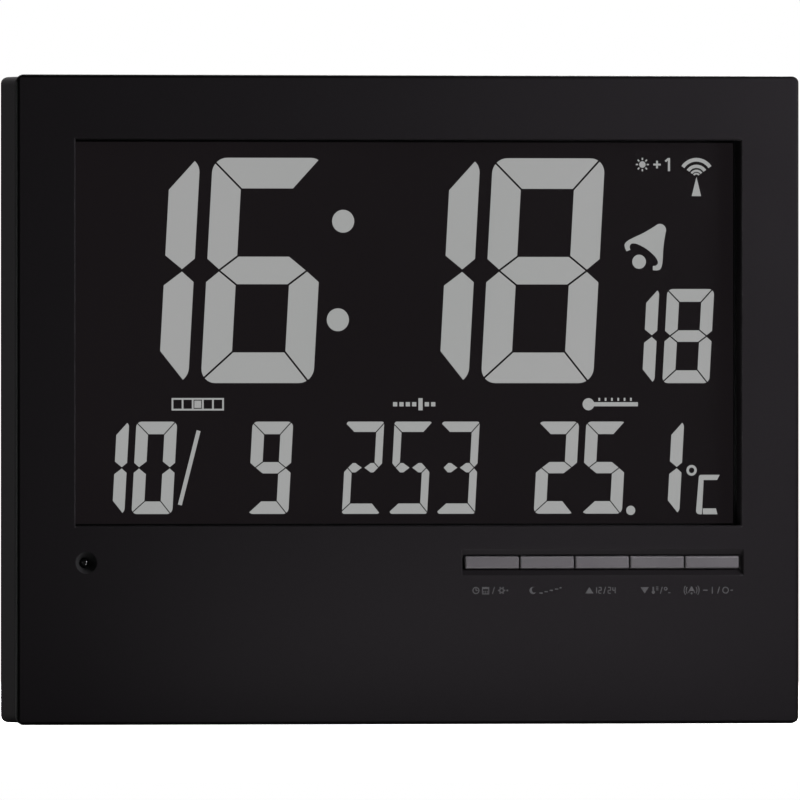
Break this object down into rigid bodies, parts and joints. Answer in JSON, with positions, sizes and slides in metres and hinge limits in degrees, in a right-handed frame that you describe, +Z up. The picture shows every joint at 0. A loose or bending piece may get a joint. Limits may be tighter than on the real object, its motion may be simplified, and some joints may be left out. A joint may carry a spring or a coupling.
{
  "type": "digital wall clock",
  "caption": "Wall and desk clock: wide segment display behind a flat bezel, front key row, light sensor, fold-out stand, hanging slot and pull-off battery cover.",
  "frame": {"origin": "middle of the underside, halfway through the depth", "axes": "+X to the right seen from the front, +Y to the back, +Z up"},
  "size_m": [0.234, 0.028, 0.187],
  "materials": {
    "case_black": "fine satin texture",
    "key_silver": "silver-grey satin",
    "lens_clear": "clear gloss",
    "lcd_glass": "polished",
    "polarizer_dark": "satin film",
    "segment_pale": "pale grey",
    "film_white": "matt white",
    "guide_clear": "clear gloss",
    "frame_black": "satin",
    "foam_black": "soft foam",
    "zebra_grey": "striped silicone",
    "board_green": "solder mask",
    "led_white": "moulded package",
    "epoxy_black": "cured resin",
    "nickel": "plated",
    "capacitor_sleeve": "shrunk sleeve",
    "screw_steel": "zinc plated",
    "switch_black": "moulded",
    "ribbon_cream": "film",
    "sensor_dark": "dark tinted resin",
    "bead_black": "dipped resin",
    "ferrite_grey": "sintered",
    "copper_wire": "enamelled winding",
    "buzzer_black": "moulded",
    "cell_jacket": "printed jacket left plain",
    "lead_red": "insulated",
    "pad_rubber": "matt"
  },
  "bodies": {
    "case": {"front_case": "case_black", "rear_case": "case_black", "display_lens": "lens_clear", "lcd_front_glass": "lcd_glass", "lcd_rear_glass": "lcd_glass", "front_polarizer": "polarizer_dark", "rear_polarizer": "polarizer_dark", "lcd_segments": "segment_pale", "diffuser_film": "film_white", "reflector_film": "film_white", "light_guide": "guide_clear", "lcd_frame": "frame_black", "lens_gasket": "foam_black", "zebra_strips": "zebra_grey", "main_board": "board_green", "key_board": "board_green", "sensor_board": "board_green", "backlight_board": "board_green", "backlight_leds": "led_white", "controller_chip": "epoxy_black", "clock_crystals": "nickel", "battery_springs": "nickel", "battery_contacts": "nickel", "capacitors": "capacitor_sleeve", "board_screws": "screw_steel", "case_screws": "screw_steel", "key_board_screws": "screw_steel", "tact_switches": "switch_black", "key_ribbon": "ribbon_cream", "light_sensor": "sensor_dark", "temperature_sensor": "bead_black", "ferrite_rod": "ferrite_grey", "antenna_coil": "copper_wire", "buzzer": "buzzer_black", "battery_cells": "cell_jacket", "battery_wires": "lead_red"},
    "mode_key": {"mode_button": "key_silver", "mode_plunger": "switch_black"},
    "snooze_key": {"snooze_button": "key_silver", "snooze_plunger": "switch_black"},
    "up_key": {"up_button": "key_silver", "up_plunger": "switch_black"},
    "down_key": {"down_button": "key_silver", "down_plunger": "switch_black"},
    "alarm_key": {"alarm_button": "key_silver", "alarm_plunger": "switch_black"},
    "stand": {"stand_leg": "case_black", "stand_foot_pad": "pad_rubber"},
    "door": {"battery_door": "case_black"}
  },
  "joints": [
    {"name": "mode_press", "type": "slide", "parent": "case", "child": "mode_key", "axis": [0, 1, 0], "range_m": [0, 0.0005], "stiffness_N_per_m": 500},
    {"name": "snooze_press", "type": "slide", "parent": "case", "child": "snooze_key", "axis": [0, 1, 0], "range_m": [0, 0.0005], "stiffness_N_per_m": 500},
    {"name": "up_press", "type": "slide", "parent": "case", "child": "up_key", "axis": [0, 1, 0], "range_m": [0, 0.0005], "stiffness_N_per_m": 500},
    {"name": "down_press", "type": "slide", "parent": "case", "child": "down_key", "axis": [0, 1, 0], "range_m": [0, 0.0005], "stiffness_N_per_m": 500},
    {"name": "alarm_press", "type": "slide", "parent": "case", "child": "alarm_key", "axis": [0, 1, 0], "range_m": [0, 0.0005], "stiffness_N_per_m": 500},
    {"name": "stand_fold", "type": "hinge", "parent": "case", "child": "stand", "pos_m": [0, 0.0116, 0.112], "axis": [1, 0, 0], "range_deg": [0, 27]},
    {"name": "door_pull", "type": "slide", "parent": "case", "child": "door", "axis": [0, 1, 0], "range_m": [0, 0.03]}
  ]
}
